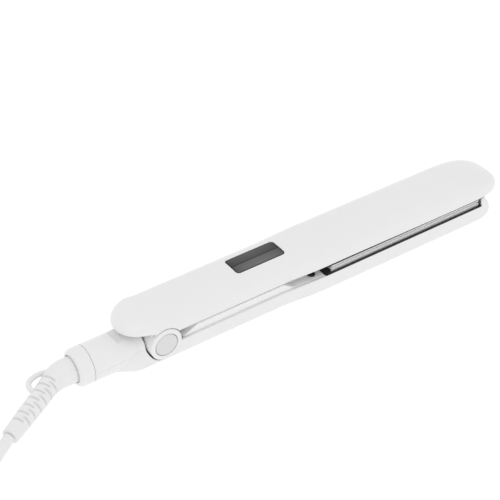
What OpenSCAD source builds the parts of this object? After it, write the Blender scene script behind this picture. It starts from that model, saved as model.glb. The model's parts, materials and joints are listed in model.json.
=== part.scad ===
// Flat iron: two hinged arms with floating heated plates, a display in the upper arm,
// a sliding lock collar and a swivelling mains cord.
// +X runs from the cord to the nose and +Z is up. Every module is drawn with the hinge
// axis over x = 0, and place() then moves the middle of the body's length to the origin.

/* [Arms] */
// From the hinge axis to the nose of the upper arm
upper_nose = 231; // [228:0.5:234]
// From the hinge axis to the nose of the lower arm
lower_nose = 228.2; // [227:0.1:229]
// From the hinge axis to the rear end of the upper arm
upper_rear = 21; // [20:0.5:21.5]
// Half width of the arms at the handle
handle_half = 15.2; // [15:0.1:15.4]
// Half width of the arms at the plates
head_half = 16.4; // [16.3:0.1:17]
// Height of the top of the upper arm
top_z = 31.8; // [31.6:0.1:33]
// Wall thickness of the shells
wall = 1.5; // [1.3:0.1:1.6]

/* [Hinge] */
// Height of the hinge axis
hinge_z = 14.5; // [14.4:0.1:14.6]
// Radius of the hinge discs
ear_r = 9.2; // [9:0.1:9.3]
// Radius of the inset caps in the hinge discs
cap_r = 6.4; // [6:0.1:6.6]
// Radius of the hinge pin
pin_r = 2.5; // [2:0.1:2.8]

/* [Plates] */
// Length of a heated plate
plate_len = 106; // [104:0.5:106]
// Half width of a heated plate
plate_half = 14.4; // [14:0.1:14.5]
// Height of the plane in which the plates meet
contact_z = 15.1; // [15:0.1:15.2]
// Spring travel of a plate
float_travel = 0.8; // [0.5:0.1:0.9]

/* [Display] */
// Length of the display window
window_len = 31; // [28:0.5:32]
// Width of the display window
window_wide = 12.8; // [12:0.1:13.4]

/* [Tail and cord] */
// Radius of the tail
tail_r = 10.3; // [10.2:0.1:10.4]
// Length of the lock collar
collar_len = 8; // [7.5:0.5:9]
// Diameter of the cord
cord_d = 6; // [5.5:0.1:6]

/* [Hidden] */
$fn = 64;

tail_x = -38.7;                       // rear face of the tail
collar_x = tail_x - collar_len;       // rear face of the lock collar
origin_x = 92.65;                     // frame origin, midway along the iron
head_x = 101.8;                       // where the bezels begin
plate_x = 106.3;                      // rear end of the plates
plate_end = plate_x + plate_len;
lip_x = 213.4;                        // rear face of the lip in front of the plates
lip_z = 17.9;                         // top of the lip
clear = 0.15;                         // gap between fixed neighbours
rim_handle = 12.6;                    // rim of the lower shell at the handle
rim_head = 12.8;                      // rim of the lower shell at the plates
upper_rim_handle = 19.5;
upper_rim_head = 18.9;
upper_rim_rear = 24;
flange = [0.25, 0.5];                 // thickness of the lower and upper bezel over the rims
notch_r = ear_r + 0.45;               // cut in the shells around the hinge discs
ear_in = 8;                           // inner face of a hinge disc
ear_out = handle_half + 0.7;          // outer face of a hinge disc
cap_deep = 1.6;
barrel_r = 8.4;
button_x = [30, 42, 54];
button_r = 3;
screw_x = 95.8;
screw_y = 10;
spring_x = [116, 144.5, 173, 201.5];
window_x = 50.2;                      // rear edge of the display window
white = "#ecebea";
black = "#26262a";
steel = "#c4c4c4";

function mix(a, b, t) = a + (b - a) * t;
function ease(x, a, b) = let (t = min(1, max(0, (x - a) / (b - a)))) t * t * (3 - 2 * t);
function spow(v, p) = sign(v) * pow(abs(v), p);
// 1 along a body and falling to nearly 0 at its rounded ends
function end_scale(x, a, a_in, b_in, b, pa, pb) =
  let (ua = max(0, (a_in - x) / (a_in - a)), ub = max(0, (x - b_in) / (b - b_in)))
  max(0.05, pow(max(0, 1 - pow(ua, pa)), 1 / pa) * pow(max(0, 1 - pow(ub, pb)), 1 / pb));
// Stations along X, closer together towards rounded ends
function round_a(a, a_in, n) = [for (i = [0:n - 1]) a_in + (a - a_in) * cos(90 * i / n)];
function round_b(b_in, b, n) = [for (i = [1:n]) b_in + (b - b_in) * sin(90 * i / n)];
function spread(a, b, n) = [for (i = [0:n]) mix(a, b, i / n)];

module place() translate([-origin_x, 0, 0]) children();

// Solid skinned over closed rings that all have the same number of points
module skin(rings) {
  n = len(rings);
  m = len(rings[0]);
  sides = [for (i = [0:n - 2], j = [0:m - 1]) let (k = (j + 1) % m)
    each [[i * m + j, i * m + k, (i + 1) * m + k], [i * m + j, (i + 1) * m + k, (i + 1) * m + j]]];
  first = [for (j = [m - 1:-1:0]) j];
  last = [for (j = [0:m - 1]) (n - 1) * m + j];
  polyhedron([for (r = rings) each r], concat([first, last], sides));
}

// Keeps a skinned shape and what is cut from it as one mesh
module as_mesh() resize([0, 0, 0]) children();

// Round tube along a list of points, with a radius for each
module tube(points, radii, sides = 8) {
  n = len(points);
  function unit(v) = v / norm(v);
  function along(i) = unit(points[min(n - 1, i + 1)] - points[max(0, i - 1)]);
  function ring(i) = let (d = along(i), s = unit(cross([0, 0, 1], d)), u = cross(d, s))
    [for (k = [0:sides - 1]) let (a = 360 * k / sides)
      points[i] + radii[i] * (cos(a) * s + sin(a) * u)];
  skin([for (i = [0:n - 1]) ring(i)]);
}

module ydisc(r, y0, y1, x = 0, z = hinge_z)
  translate([x, y1, z]) rotate([90, 0, 0]) cylinder(r = r, h = y1 - y0);

module xdisc(r, x0, x1, y = 0, z = tail_r)
  translate([x0, y, z]) rotate([0, 90, 0]) cylinder(r = r, h = x1 - x0);

module block(lo, hi) translate(lo) cube(hi - lo);

module both_sides() {
  children();
  mirror([0, 1, 0]) children();
}

// ---------------------------------------------------------------- outlines of the arms

function upper_half(x) = handle_half + (head_half - handle_half) * ease(x, 70, 102);
function lower_half(x) = handle_half - 0.1 + (head_half - handle_half) * ease(x, 70, 102);
// 0 on the tail's tube and 1 on the arm's body, which spreads from the tube along a slanting line
function flare(x, z) = min(1, max(0, (x + 28.5 - 1.27 * z) / 7.5));
function upper_rim(x) = upper_rim_rear + (upper_rim_handle - upper_rim_rear) * ease(x, -8, -1)
  + (upper_rim_head - upper_rim_handle) * ease(x, 110, 190);
function rim_half(x) = mix(tail_r, handle_half - 0.1, flare(x, lower_rim(x)))
  + (head_half - handle_half) * ease(x, 70, 102);
function lower_rim(x) = mix(tail_r, rim_handle, ease(x, -25, -13))
  + (rim_head - rim_handle) * ease(x, 78, 84);

upper_rear_in = -1;
upper_nose_in = 204;
lower_nose_in = 210;

function upper_plan(x, t) =
  end_scale(x, -upper_rear + t, upper_rear_in, upper_nose_in, upper_nose - t, 2.2, 2.7);
function lower_plan(x, t) = end_scale(x, -100, -99, lower_nose_in, lower_nose - t, 2.3, 2.3);
function upper_crown(x, t) =
  end_scale(x, -upper_rear + t, upper_rear_in, upper_nose - 36, upper_nose - t, 2.6, 2);

// Domed section of the upper arm, inset by t, its open side dropped by drop
function upper_ring(x, t, drop) =
  let (w = (upper_half(x) - t) * upper_plan(x, t), rim = upper_rim(x), side = 1.5 * upper_crown(x, t),
       h = (top_z - t - rim - side) * upper_crown(x, t),
       q = 2 / (2.8 - 0.5 * ease(-x, 0, 18)))
  concat([[x, w, rim - drop], [x, -w, rim - drop]],
    [for (k = [0:20]) let (a = 9 * k) [x, -w * spow(cos(a), q), rim + side + h * spow(sin(a), q)]]);
function upper_rings(t, drop) = [
  for (x = concat(round_a(-upper_rear + t, upper_rear_in, 9), spread(upper_rear_in, 8, 3),
       spread(20, 66, 3), spread(72, 102, 6), spread(125, upper_nose - 36, 3),
       [upper_nose - 30], round_b(upper_nose_in, upper_nose - t, 8)))
    upper_ring(x, t, drop)];

// Share of its full length that the lower nose keeps at height z, as its front leans back
function lean(z) = 1 - 6.6 * ease(z, 3.5, 15) / (lower_nose - lower_nose_in);
function leaned(p) = [p[0] <= lower_nose_in ? p[0] : lower_nose_in + (p[0] - lower_nose_in) * lean(p[2]), p[1], p[2]];

// Section of the lower arm, inset by t, its open side raised by rise
function lower_power(x) = 2 + 0.5 * ease(x, -27, -8) + 0.7 * ease(x, 74, 104);
function lower_ring(x, t, rise) =
  let (e = lower_plan(x, t),
       w = (lower_half(x) - t) * e, wr = (rim_half(x) - t) * e, rim = lower_rim(x),
       q = 2 / lower_power(x), b = (7 - t + 0.12) * pow(e, 0.4))
  concat([leaned([x, -wr, rim + rise]), leaned([x, wr, rim + rise])],
    [for (k = [0:18]) let (a = 10 * k, r = tail_r - t, tube = [x, r * cos(a), tail_r - (r + 0.12) * sin(a)])
      leaned(mix(tube, [x, w * spow(cos(a), q), 7 - b * spow(sin(a), q)], flare(x, tube[2])))]);
function lower_rings(t, rise, x0) = [
  for (x = concat([x0, -29], spread(-27, -5, 11), spread(0, 66, 3), spread(74, 102, 7),
       spread(130, lower_nose_in - 4, 3), [lower_nose_in], round_b(lower_nose_in, lower_nose - t, 7)))
    lower_ring(x, t, rise)];

// Flat outline inside a shell from x0 to x1, gap g from the outer surface
module lower_plan_2d(x0, x1, g) {
  xs = concat([x0], [for (x = [74:4:102]) if (x > x0 && x < x1) x],
    x1 > lower_nose_in ? [for (x = round_b(lower_nose_in, min(x1, lower_nose - g - 0.01), 6)) if (x > x0) x]
      : [x1]);
  function half(x) = (lower_half(x) - g) * lower_plan(x, g);
  polygon(concat([for (x = xs) [x, -half(x)]], [for (i = [len(xs) - 1:-1:0]) [xs[i], half(xs[i])]]));
}

module upper_plan_2d(x0, x1, g) {
  xs = concat(x0 < upper_rear_in ? round_a(max(x0, -upper_rear + g + 0.01), upper_rear_in, 6) : [x0],
    [for (x = [-4:4:102]) if (x > x0 + 1 && x < x1 - 1) x],
    x1 > upper_nose_in ? round_b(upper_nose_in, min(x1, upper_nose - g - 0.01), 6) : [x1]);
  function half(x) = (upper_half(x) - g) * upper_plan(x, g);
  polygon(concat([for (x = xs) [x, -half(x)]], [for (i = [len(xs) - 1:-1:0]) [xs[i], half(xs[i])]]));
}

// Cut around both hinge discs, in the upper arm and, wider towards the tail, in the lower one
module ear_notch() both_sides() ydisc(notch_r, -40, -ear_in + 0.3);
module lower_notch() both_sides() ydisc(ear_r + 0.6, -40, -ear_in + 0.3, -0.4);

// ---------------------------------------------------------------- lower arm

module screw_post(z0, z1) difference() {
  translate([screw_x, 0, z0]) cylinder(r = 2.6, h = z1 - z0);
  translate([screw_x, 0, z0 - 1]) cylinder(r = 1.2, h = z1 - z0 + 2, $fn = 16);
}

// Hollow lip at the nose of the lower arm, in front of the plates
module lip_slice(z0, z1, share, g) translate([lower_nose_in, 0, z0]) scale([share, 1, 1])
  linear_extrude(z1 - z0) translate([-lower_nose_in, 0]) lower_plan_2d(lower_nose_in - 1, 240, g);

module nose_lip() difference() {
  hull() for (s = [[7.4, 0.05], [4.9, 0.05], [3, 0.5], [1.7, 1.35], [0.75, 2.6], [0.2, 3.8], [0.02, 5]])
    lip_slice(lip_z - s[0], lip_z - s[0] + 0.02, lean(lip_z - s[0]), s[1]);
  intersection() {
    lip_slice(5, lip_z - 2.3, 0.62, 3.8);
    block([lip_x + 1.6, -20, 0], [240, 20, 20]);
  }
  block([200, -20, 0], [lip_x, 20, 20]);
}

module lower_shell() color(white) as_mesh() difference() {
  union() {
    intersection() {
      union() {
        difference() {
          skin(lower_rings(0, 0, tail_x));
          skin(lower_rings(wall, 0.6, tail_x - 1));
        }
        for (s = [-1, 1]) translate([0, s * screw_y, 0]) screw_post(1, 9.6);
        translate([-31, 0, 0.5]) cylinder(r = 3, h = 9);
      }
      skin(lower_rings(0, 0, tail_x));
      block([-60, -30, 0], [260, 30, 30]);
    }
    nose_lip();
  }
  lower_notch();
  translate([-31, 0, -1]) {
    cylinder(r = 1.3, h = 20, $fn = 16);
    cylinder(r = 2.4, h = 3.2, $fn = 24);
  }
}

// Scoop in the top of the tail that lets the upper arm's rear end swing down
scoop_gap = 2;
function scoop(x, y) =
  let (u = max(0, -1 - x) / (upper_rear - 1 + scoop_gap), v = abs(y) / (handle_half + scoop_gap),
       around = pow(pow(u, 2.2) + pow(v, 2.2), 1 / 2.2))
  19 + 0.2 * max(0, x + 22.5) + 2 * ease(around, 0.98, 1.03);
function tail_ring(x, t, drop) =
  let (w = rim_half(x) - t, rim = lower_rim(x), h = 2 * tail_r - t - rim)
  concat([[x, w, rim - drop], [x, -w, rim - drop]],
    [for (k = [0:24]) let (a = 7.5 * k, y = -w * cos(a)) [x, y, min(rim + h * sin(a), scoop(x, y) - t)]]);
function tail_rings(t, drop, x0, x1) =
  [for (x = concat([x0, -28], spread(-25, -21, 8), spread(-20, x1, 8))) tail_ring(x, t, drop)];

module tail_cover() color(white) as_mesh() difference() {
  skin(tail_rings(0, 0, tail_x, -10));
  skin(tail_rings(wall, 2, tail_x - 1, -11.4));
  lower_notch();
  ydisc(barrel_r + 0.4, -ear_in, ear_in);
  block([-45, -2.7, 2 * tail_r - wall - 1.2], [-25, 2.7, 2 * tail_r - 0.75]);
  block([-14, -5, 9], [-5, 5, 14]);
}

module swivel_bearing() color(white) difference() {
  union() {
    xdisc(8.55, collar_x + 2.35, tail_x);
    xdisc(tail_r - wall - clear, tail_x, tail_x + 2.4);
  }
  xdisc(7.35, collar_x, tail_x - 1.2);
  xdisc(5.2, tail_x - 2, tail_x + 3);
  block([tail_x - 0.8, -3, 2 * tail_r - 3.6], [tail_x + 3, 3, 2 * tail_r]);
}

// Side profile of the lower inner cover, moved in by t
module cover_profile(t)
  polygon([[11 + t, 11.4 - t], [11 + t, rim_handle - 0.6 * t], [21 + t, 16.8 - t], [75.5 - t, 16.8 - t],
    [82 - t, rim_head - t], [head_x - clear - t, rim_head - t], [head_x - clear - t, 10 - t]]);

module cover_block(t, more, g) intersection() {
  translate([0, 20, 0]) rotate([90, 0, 0]) linear_extrude(40) cover_profile(t);
  translate([0, 0, -more]) linear_extrude(40) lower_plan_2d(10 - more, head_x + more, g);
}

module lower_inner_cover() color(white) difference() {
  cover_block(0, 0, wall + clear);
  translate([0, 0, -0.2]) cover_block(1.4, 1, wall + clear + 1.3);
  for (s = [-1, 1]) translate([screw_x, s * screw_y, 0]) {
    cylinder(r = 1.35, h = 30);
    translate([0, 0, 12]) cylinder(r = 2.4, h = 5);
  }
}

module lower_bezel() color(black) difference() {
  union() {
    translate([0, 0, rim_head]) linear_extrude(flange[0]) lower_plan_2d(head_x, lip_x - 0.1, 0.1);
    translate([0, 0, 10.2]) linear_extrude(rim_head - 10.2) lower_plan_2d(head_x, lip_x - 0.1, wall + 0.35);
    block([plate_end, -plate_half - 0.5, rim_head], [lip_x - 0.1, plate_half + 0.5, upper_rim_head - flange[1] - 0.1]);
  }
  block([plate_x - 0.3, -plate_half - 0.25, 0], [plate_end + 0.3, plate_half + 0.25, 20]);
}

module lower_carrier() color(black) {
  block([plate_x + 1, -12.6, 3.3], [plate_end - 3, 12.6, 4.6]);
  block([plate_x + 1, -9, 4.6], [plate_x + 3, 9, 9.8]);
  block([plate_end - 5, -9, 4.6], [plate_end - 3, 9, 9.8]);
}

module coil_spring(z0, z1, r, wire, turns) {
  steps = turns * 8;
  points = [for (i = [0:steps])
    [r * cos(45 * i), r * sin(45 * i), mix(z0 + wire, z1 - wire, i / steps)]];
  tube(points, [for (p = points) wire], 5);
}

module plate_springs(z0, z1)
  for (x = spring_x, s = [-1, 1]) translate([x, s * 9.6, 0]) coil_spring(z0, z1, 1.5, 0.3, 4);

plate_top = 1.4;                                // thickness of a plate's face
lower_face = contact_z - 0.1;
upper_face = contact_z + 0.1;
plate_low_z = lower_face - plate_top - 0.05;    // underside of the lower plate
plate_high_z = upper_face + plate_top + 0.05;   // top side of the upper plate

module lower_plate_springs() color(steel) plate_springs(4.65, plate_low_z);

// Channel section of a plate with its face at z = 0 and its skirts downwards
module plate_channel(skirt)
translate([plate_x, 0, 0]) rotate([90, 0, 90]) linear_extrude(plate_len) difference() {
  union() {
    translate([-plate_half, -skirt]) square([2 * plate_half, skirt - 0.9]);
    translate([-plate_half + 0.9, -0.9 - 0.01]) square([2 * plate_half - 1.8, 0.91]);
    for (s = [-1, 1]) translate([s * (plate_half - 0.9), -0.9]) circle(r = 0.9);
  }
  translate([-plate_half + 1.2, -skirt - 1]) square([2 * plate_half - 2.4, skirt + 1 - plate_top]);
}

module lower_plate() color(steel) translate([0, 0, lower_face]) plate_channel(2.8);

module heater(z0) block([plate_x + 6, -6, z0], [plate_end - 8, 6, z0 + 1.7]);
module lower_heater() color("#b9b4a6") heater(lower_face - plate_top - 1.7);
module sensor(z0) block([plate_x + 52, -2, z0], [plate_x + 57, 2, z0 + 1.5]);
module lower_sensor() color("#3a5a3c") sensor(lower_face - plate_top - 3.2);

module hinge_barrel() color(white) difference() {
  union() {
    ydisc(barrel_r, -ear_in + 0.35, ear_in - 0.35);
    block([-6.5, -ear_in + 0.35, 2.05], [6.5, ear_in - 0.35, hinge_z]);
  }
  ydisc(3.6, -20, 20);
  ydisc(6.6, -3.4, 3.4);
  block([2, -1, 10], [12, 1, hinge_z]);
}

module hinge_bushes() color("#b08d4a") both_sides() difference() {
  ydisc(3.6, -ear_in + 0.35, -3.5);
  ydisc(pin_r + 0.05, -20, 0);
}

module hinge_spring() color(steel) {
  steps = 40;
  points = [for (i = [0:steps])
    [4.6 * cos(36 * i), mix(-2.4, 2.4, i / steps), hinge_z + 4.6 * sin(36 * i)]];
  torsion_tube(points, 0.55);
}

// Tube around a coil whose axis is Y
module torsion_tube(points, r) {
  function unit(v) = v / norm(v);
  n = len(points);
  skin([for (i = [0:n - 1])
    let (d = unit(points[min(n - 1, i + 1)] - points[max(0, i - 1)]), s = unit(cross([0, 1, 0], d)),
         u = cross(d, s))
      [for (k = [0:5]) points[i] + r * (cos(60 * k) * s + sin(60 * k) * u)]]);
}

module terminal_block() color("#dcdccb") difference() {
  block([24, -7, 2.2], [44, 7, 9.4]);
  for (x = [29, 39], s = [-1, 1]) translate([x, s * 3.5, 5]) cylinder(r = 1.4, h = 8, $fn = 24);
}

module lead(points, r = 0.75) tube(points, [for (p = points) r], 6);

module mains_leads() color("#6d4b2e") for (s = [-1, 1])
  lead([[-34, s * 1.2, 10.6], [-27, s * 2.4, 10.6], [-20, s * 6.8, 8.5], [-12, s * 9.2, 5.6],
    [0, s * 9.2, 4.4], [12, s * 8, 4.2], [21.5, s * 4.2, 5.1], [23.8, s * 4, 5.1]]);

module lower_heater_leads() color("#d8d8d8") for (s = [-1, 1])
  lead([[44.1, s * 4, 6], [60, s * 5, 6], [80, s * 5, 6.4], [100, s * 4, 7],
    [plate_x + 0.7, s * 4, 7.2]]);

// Pan-head screw with its head at z = 0 and its shank down
module screw(shank) {
  difference() {
    cylinder(r = 2.2, h = 1.3);
    for (a = [0, 90]) rotate(a) translate([-1.4, -0.3, 0.6]) cube([2.8, 0.6, 2]);
  }
  translate([0, 0, -shank]) cylinder(r = 1.1, h = shank);
}

module lower_screws() color("#55565a") for (s = [-1, 1])
  translate([screw_x, s * screw_y, 12.05]) screw(7);

module tail_screw() color("#55565a") translate([-31, 0, 2.15]) rotate([180, 0, 0]) screw(6);

// ---------------------------------------------------------------- upper arm

module window_prism(g) translate([window_x - g, -window_wide / 2 - g, 20])
  linear_extrude(20) rounded(window_len + 2 * g, window_wide + 2 * g, 2 + g);

module rounded(l, w, r) {
  translate([r, 0]) square([l - 2 * r, w]);
  translate([0, r]) square([l, w - 2 * r]);
  for (x = [r, l - r], y = [r, w - r]) translate([x, y]) circle(r = r);
}

module upper_shell() color(white) as_mesh() difference() {
  intersection() {
    union() {
      difference() {
        skin(upper_rings(0, 0));
        skin(upper_rings(wall, 2));
      }
      for (s = [-1, 1]) translate([0, s * screw_y, 0]) screw_post(21.3, 31);
    }
    skin(upper_rings(0, 0));
  }
  ear_notch();
  window_prism(clear);
}

module hinge_yoke() color(white) difference() {
  union() {
    both_sides() {
      ydisc(ear_r, -ear_out, -ear_in);
      block([-7, -12.9, hinge_z], [8, -ear_in, 25.5]);
    }
    translate([0, 0, 24]) linear_extrude(1.5) upper_plan_2d(-30, 8, wall + 0.9);
  }
  ydisc(pin_r, -12, 12);
  both_sides() ydisc(cap_r + 0.35, -30, -ear_out + cap_deep);
}

module hinge_pin() color(steel) ydisc(pin_r, -12, 12);

module hinge_caps() color("#cfcfcf") both_sides() ydisc(cap_r, -ear_out + 0.1, -ear_out + cap_deep);

module upper_inner_cover() color(white) difference() {
  union() {
    translate([0, 0, upper_rim_handle]) {
      linear_extrude(1.6) upper_plan_2d(10, head_x - clear, wall + clear);
      linear_extrude(4) upper_plan_2d(10, 11.4, wall + 0.9);
    }
  }
  for (x = button_x) translate([x, 0, 0]) cylinder(r = button_r + 0.25, h = 40);
  for (s = [-1, 1]) translate([screw_x, s * screw_y, 0]) {
    cylinder(r = 1.35, h = 40);
    cylinder(r = 2.4, h = upper_rim_handle + 0.8);
  }
}

module display_window() color("#3c3d40") as_mesh() difference() {
  intersection() {
    skin(upper_rings(0.1, 0));
    window_prism(0);
  }
  skin(upper_rings(wall, 2));
}

module lcd_module() color("#8f988a")
  block([window_x + 1.5, -5.6, 27.1], [window_x + window_len - 1.5, 5.6, 29]);

module control_board() color("#2f6b45") difference() {
  block([20, -11, 25.5], [89, 11, 27]);
  for (s = [-1, 1]) translate([86, s * 8, 0]) cylinder(r = 1.2, h = 40);
}

module tact_switches() color("#444648") for (x = button_x) {
  block([x - 3, -3, 23.3], [x + 3, 3, 25.5]);
  translate([x, 0, 22.75]) cylinder(r = 1.5, h = 0.55);
}

module button() {
  translate([0, 0, 18.4]) cylinder(r = button_r, h = 2.85);
  translate([0, 0, upper_rim_handle + 1.65]) cylinder(r = button_r + 0.9, h = 0.85);
}
module power_button() color("#b9babc") translate([button_x[0], 0, 0]) button();
module plus_button() color("#b9babc") translate([button_x[1], 0, 0]) button();
module minus_button() color("#b9babc") translate([button_x[2], 0, 0]) button();

module upper_bezel() color(black) difference() {
  union() {
    translate([0, 0, upper_rim_head - flange[1]]) linear_extrude(flange[1]) upper_plan_2d(head_x, lip_x, 0.2);
    translate([0, 0, upper_rim_head - 0.3]) linear_extrude(0.3) {
      upper_plan_2d(head_x, lip_x + 1.8, 0.2);
      upper_plan_2d(head_x, 240, 1.5);
    }
    translate([0, 0, upper_rim_head]) linear_extrude(2.6) upper_plan_2d(head_x, 240, wall + 0.9);
  }
  block([plate_x - 0.3, -plate_half - 0.25, 0], [plate_end + 0.3, plate_half + 0.25, 40]);
}

module upper_carrier() color(black) {
  block([plate_x + 1, -12, 25.6], [plate_end - 4, 12, 26.8]);
  block([plate_x + 1, -9, 21.3], [plate_x + 3, 9, 25.6]);
  block([plate_end - 6, -9, 21.3], [plate_end - 4, 9, 25.6]);
}

module upper_plate_springs() color(steel) plate_springs(plate_high_z, 25.55);

module upper_heater_leads() color("#d8d8d8") for (s = [-1, 1])
  lead([[89.3, s * 4, 26.2], [95, s * 4, 24.6], [plate_x + 0.7, s * 4, 23.4]]);

module upper_screws() color("#55565a") for (s = [-1, 1])
  translate([screw_x, s * screw_y, upper_rim_handle + 0.75]) rotate([180, 0, 0]) screw(6);

module thermal_fuse() color("#cfc9b8") xdisc(1.6, 60, 71, 8.6, 23.4);

module upper_plate() color(steel) translate([0, 0, upper_face]) mirror([0, 0, 1]) plate_channel(3.6);
module upper_heater() color("#b9b4a6") heater(upper_face + plate_top);
module upper_sensor() color("#3a5a3c") sensor(upper_face + plate_top + 1.7);

// ---------------------------------------------------------------- lock and swivel

module lock_collar() color(white)
  translate([0, 0, tail_r]) rotate([0, 90, 0]) translate([0, 0, collar_x]) rotate_extrude() difference() {
    union() {
      translate([7.6, 0]) square([tail_r - 7.6 - 2.4, 2.4]);
      translate([7.6, 2.4]) square([tail_r - 7.6, collar_len - 2.4 - clear]);
      intersection() {
        translate([tail_r - 2.4, 2.4]) circle(r = 2.4);
        translate([7.6, 0]) square([4, 4]);
      }
    }
    translate([0, 2.2]) square([8.75, collar_len]);
  }

module lock_bar() color(white) difference() {
  block([tail_x - clear, -2.4, 2 * tail_r - wall - 1], [-25.5, 2.4, 2 * tail_r - wall + 0.65]);
  block([-60, -4, 0], [tail_x + 3, 4, 2 * tail_r - wall - 0.05]);
}

module swivel_spindle() color(white) difference() {
  union() {
    xdisc(7.1, collar_x, tail_x - 1.3);
    xdisc(5.1, tail_x - 1.4, tail_x + 4.2);
  }
  xdisc(2.6, collar_x - 3, tail_x + 6);
}
module swivel_retainer() color(steel) difference() {
  xdisc(6.6, tail_x + 2.6, tail_x + 3.4);
  xdisc(5.15, tail_x + 2, tail_x + 4);
}

// Centre line of the moulded strain relief, with its radius at each point
relief_path = [[-46.7, 0, 10.3, 7.1], [-51.5, 0, 10.3, 7.1], [-55, -0.5, 10.2, 6.7],
  [-58.5, -1.8, 10, 6.1], [-62, -3.6, 9.8, 5.5], [-66, -6.1, 9.7, 5.2], [-70, -8.7, 9.6, 5.1],
  [-75, -11.6, 9.3, 5.05], [-80, -14.5, 9, 4.95], [-85, -17.4, 8.6, 4.75], [-90, -20.3, 8.2, 4.55],
  [-94, -22.6, 7.9, 4.4]];
module strain_relief() color(white)
  tube([for (p = relief_path) [p[0], p[1], p[2]]], [for (p = relief_path) p[3]], 16);

// Loop on the far side of the strain relief
loop_path = [[-56.5, 4, 10.8], [-60.2, 4.6, 11.6], [-64.4, 4.2, 12.2], [-68.6, 2.8, 12.4],
  [-71.2, 0.2, 12.3], [-71.6, -3.2, 11.8], [-70.2, -5.8, 11]];
module hang_loop() color(white) tube(loop_path, [for (p = loop_path) 1.3], 8);

// ---------------------------------------------------------------- cord

cord_r = cord_d / 2;
hank_lift = 0.8;          // thickness of the tie under the hank
hank_x = [-251, -123];    // ends of the hank
hank_y = -20;
hank_in = 19;             // radius of the innermost turn
hank_turns = 2;           // turns side by side in a layer
hank_layers = 3;
hank_half = hank_in + hank_turns * cord_d - cord_r;
hank_top = hank_lift + hank_layers * cord_d;
cord_path = [[-94.4, -22.8, 7.87], [-101, -26.6, 6.7], [-108, -30.7, 5.2], [-116, -35.1, 4.2],
  [-124, -39.3, 3.8], [-132, -42.6, 3.8], [-141, -44.6, 3.8], [-151, -45, 3.8]];
cord_end_path = [[-144.5, 4.2, 21.8], [-134.9, -0.8, 21.8], [-128.3, -9.4, 21.8], [-126, -20, 21.8],
  [-128.3, -30.6, 21.9], [-134.9, -39.2, 22], [-144, -44, 22.3], [-151, -44.9, 22.6], [-158, -43.6, 23],
  [-165.5, -39, 23.6], [-173, -31, 24.4], [-180.5, -21.5, 25], [-187, -13.5, 25.4], [-194, -10, 25.5]];
plug_x = -214;            // face of the plug at its cord end
plug_y = -10;             // the plug lies over the hank's far side
plug_z = hank_top + 6.7;

module cord() color(white) tube(cord_path, [for (p = cord_path) cord_r], 10);
module cord_end() color(white) tube(cord_end_path, [for (p = cord_end_path) cord_r], 10);

module stadium(x0, x1, y, r) {
  translate([x0 + r, y - r]) square([x1 - x0 - 2 * r, 2 * r]);
  for (x = [x0 + r, x1 - r]) translate([x, y]) circle(r = r);
}
module cord_hank() color(white) translate([0, 0, hank_lift])
  linear_extrude(hank_layers * cord_d) stadium(hank_x[0], hank_x[1], hank_y, hank_half);

module cord_tie() color("#3a3b3e") difference() {
  block([-195, hank_y - hank_half - 0.85, 0], [-179, hank_y + hank_half + 0.85, hank_top + 0.8]);
  block([-200, hank_y - hank_half - 0.05, hank_lift], [-170, hank_y + hank_half + 0.05, hank_top]);
}

module plug_body() color(white) {
  translate([0, 0, hank_top]) linear_extrude(13.4) translate([plug_x, plug_y]) polygon([[0, -5.5],
    [-6, -7], [-18, -12], [-24, -13], [-36, -13], [-36, 13], [-24, 13], [-18, 12], [-6, 7], [0, 5.5]]);
  translate([plug_x, plug_y, plug_z]) rotate([0, 90, 0]) cylinder(r1 = 4.6, r2 = 3.6, h = 20);
}
module plug_pins() color(steel) for (s = [-1, 1]) translate([plug_x - 36, plug_y + s * 9.3, plug_z])
  rotate([0, -90, 0]) { cylinder(r = 2, h = 17.5); translate([0, 0, 17.5]) sphere(r = 2); }

place() lower_shell();
place() tail_cover();
place() swivel_bearing();
place() lower_inner_cover();
place() lower_bezel();
place() lower_carrier();
place() lower_plate_springs();
place() hinge_barrel();
place() hinge_bushes();
place() hinge_spring();
place() terminal_block();
place() mains_leads();
place() lower_heater_leads();
place() lower_screws();
place() tail_screw();
place() cord();
place() cord_hank();
place() cord_end();
place() cord_tie();
place() plug_body();
place() plug_pins();
place() lower_plate();
place() lower_heater();
place() lower_sensor();
place() upper_shell();
place() hinge_yoke();
place() hinge_pin();
place() hinge_caps();
place() upper_inner_cover();
place() display_window();
place() lcd_module();
place() control_board();
place() tact_switches();
place() upper_bezel();
place() upper_carrier();
place() upper_plate_springs();
place() upper_heater_leads();
place() upper_screws();
place() thermal_fuse();
place() upper_plate();
place() upper_heater();
place() upper_sensor();
place() power_button();
place() plus_button();
place() minus_button();
place() lock_collar();
place() lock_bar();
place() swivel_spindle();
place() swivel_retainer();
place() strain_relief();
place() hang_loop();
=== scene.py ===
import json
import math

import bmesh
import bpy
import numpy as np
from mathutils import Matrix, Vector


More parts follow.
